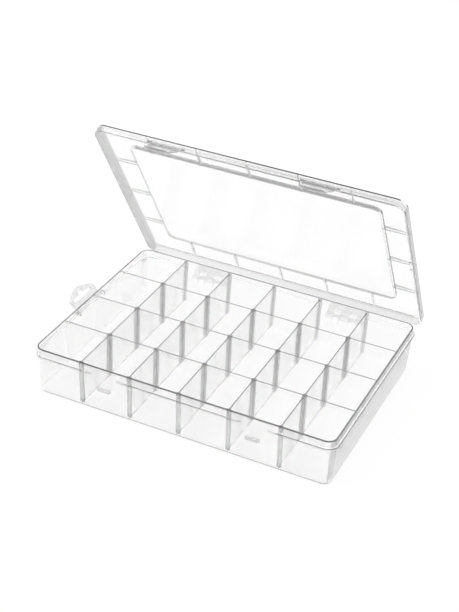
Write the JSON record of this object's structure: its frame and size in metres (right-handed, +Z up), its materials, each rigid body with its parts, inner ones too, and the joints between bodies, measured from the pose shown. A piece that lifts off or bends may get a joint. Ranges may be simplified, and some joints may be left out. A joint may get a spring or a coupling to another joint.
{
  "type": "compartment storage box",
  "caption": "Clear plastic compartment box with a hinged latching lid, lift-out dividers and a folding hang tab, for sorting small parts and craft supplies.",
  "frame": {"origin": "middle of the tray's underside", "axes": "+X to the right along the longer side, +Y from the latches to the hinges, +Z up"},
  "size_m": [0.3354, 0.249, 0.2419],
  "materials": {
    "tray_clear": "clear glossy injection-moulded plastic",
    "lid_clear": "clear glossy injection-moulded plastic",
    "divider_clear": "clear glossy injection-moulded plastic",
    "latch_clear": "clear glossy injection-moulded plastic",
    "tab_clear": "clear glossy injection-moulded plastic"
  },
  "bodies": {
    "tray": {"tray": "tray_clear"},
    "lid": {"lid": "lid_clear"},
    "hang_tab": {"hang_tab": "tab_clear"},
    "latch_left": {"latch_left": "latch_clear"},
    "latch_right": {"latch_right": "latch_clear"},
    "divider_row1_1": {"divider_row1_1": "divider_clear"},
    "divider_row1_2": {"divider_row1_2": "divider_clear"},
    "divider_row1_3": {"divider_row1_3": "divider_clear"},
    "divider_row1_4": {"divider_row1_4": "divider_clear"},
    "divider_row1_5": {"divider_row1_5": "divider_clear"},
    "divider_row2_1": {"divider_row2_1": "divider_clear"},
    "divider_row2_2": {"divider_row2_2": "divider_clear"},
    "divider_row2_3": {"divider_row2_3": "divider_clear"},
    "divider_row2_4": {"divider_row2_4": "divider_clear"},
    "divider_row2_5": {"divider_row2_5": "divider_clear"},
    "divider_row3_1": {"divider_row3_1": "divider_clear"},
    "divider_row3_2": {"divider_row3_2": "divider_clear"},
    "divider_row3_3": {"divider_row3_3": "divider_clear"},
    "divider_row3_4": {"divider_row3_4": "divider_clear"},
    "divider_row3_5": {"divider_row3_5": "divider_clear"},
    "divider_row4_1": {"divider_row4_1": "divider_clear"},
    "divider_row4_2": {"divider_row4_2": "divider_clear"},
    "divider_row4_3": {"divider_row4_3": "divider_clear"},
    "divider_row4_4": {"divider_row4_4": "divider_clear"},
    "divider_row4_5": {"divider_row4_5": "divider_clear"}
  },
  "joints": [
    {"name": "lid_hinge", "type": "hinge", "parent": "tray", "child": "lid", "pos_m": [0, 0.1166, 0.0305], "axis": [1, 0, 0], "range_deg": [-122.4, 57.6]},
    {"name": "latch_left_hinge", "type": "hinge", "parent": "lid", "child": "latch_left", "pos_m": [-0.078, 0.005, 0.23528], "axis": [1, 0, 0], "range_deg": [-60, 48]},
    {"name": "latch_right_hinge", "type": "hinge", "parent": "lid", "child": "latch_right", "pos_m": [0.078, 0.005, 0.23528], "axis": [1, 0, 0], "range_deg": [-60, 48]},
    {"name": "hang_tab_hinge", "type": "hinge", "parent": "tray", "child": "hang_tab", "pos_m": [-0.1603, 0, 0.04], "axis": [0, 1, 0], "range_deg": [-120, 50]},
    {"name": "divider_row1_1_slide", "type": "slide", "parent": "tray", "child": "divider_row1_1", "axis": [0, 0, -1], "range_m": [-0.05, 0]},
    {"name": "divider_row1_2_slide", "type": "slide", "parent": "tray", "child": "divider_row1_2", "axis": [0, 0, -1], "range_m": [-0.05, 0]},
    {"name": "divider_row1_3_slide", "type": "slide", "parent": "tray", "child": "divider_row1_3", "axis": [0, 0, -1], "range_m": [-0.05, 0]},
    {"name": "divider_row1_4_slide", "type": "slide", "parent": "tray", "child": "divider_row1_4", "axis": [0, 0, -1], "range_m": [-0.05, 0]},
    {"name": "divider_row1_5_slide", "type": "slide", "parent": "tray", "child": "divider_row1_5", "axis": [0, 0, -1], "range_m": [-0.05, 0]},
    {"name": "divider_row2_1_slide", "type": "slide", "parent": "tray", "child": "divider_row2_1", "axis": [0, 0, -1], "range_m": [-0.05, 0]},
    {"name": "divider_row2_2_slide", "type": "slide", "parent": "tray", "child": "divider_row2_2", "axis": [0, 0, -1], "range_m": [-0.05, 0]},
    {"name": "divider_row2_3_slide", "type": "slide", "parent": "tray", "child": "divider_row2_3", "axis": [0, 0, -1], "range_m": [-0.05, 0]},
    {"name": "divider_row2_4_slide", "type": "slide", "parent": "tray", "child": "divider_row2_4", "axis": [0, 0, -1], "range_m": [-0.05, 0]},
    {"name": "divider_row2_5_slide", "type": "slide", "parent": "tray", "child": "divider_row2_5", "axis": [0, 0, -1], "range_m": [-0.05, 0]},
    {"name": "divider_row3_1_slide", "type": "slide", "parent": "tray", "child": "divider_row3_1", "axis": [0, 0, -1], "range_m": [-0.05, 0]},
    {"name": "divider_row3_2_slide", "type": "slide", "parent": "tray", "child": "divider_row3_2", "axis": [0, 0, -1], "range_m": [-0.05, 0]},
    {"name": "divider_row3_3_slide", "type": "slide", "parent": "tray", "child": "divider_row3_3", "axis": [0, 0, -1], "range_m": [-0.05, 0]},
    {"name": "divider_row3_4_slide", "type": "slide", "parent": "tray", "child": "divider_row3_4", "axis": [0, 0, -1], "range_m": [-0.05, 0]},
    {"name": "divider_row3_5_slide", "type": "slide", "parent": "tray", "child": "divider_row3_5", "axis": [0, 0, -1], "range_m": [-0.05, 0]},
    {"name": "divider_row4_1_slide", "type": "slide", "parent": "tray", "child": "divider_row4_1", "axis": [0, 0, -1], "range_m": [-0.025, 0]},
    {"name": "divider_row4_2_slide", "type": "slide", "parent": "tray", "child": "divider_row4_2", "axis": [0, 0, -1], "range_m": [-0.025, 0]},
    {"name": "divider_row4_3_slide", "type": "slide", "parent": "tray", "child": "divider_row4_3", "axis": [0, 0, -1], "range_m": [-0.025, 0]},
    {"name": "divider_row4_4_slide", "type": "slide", "parent": "tray", "child": "divider_row4_4", "axis": [0, 0, -1], "range_m": [-0.025, 0]},
    {"name": "divider_row4_5_slide", "type": "slide", "parent": "tray", "child": "divider_row4_5", "axis": [0, 0, -1], "range_m": [-0.025, 0]}
  ]
}
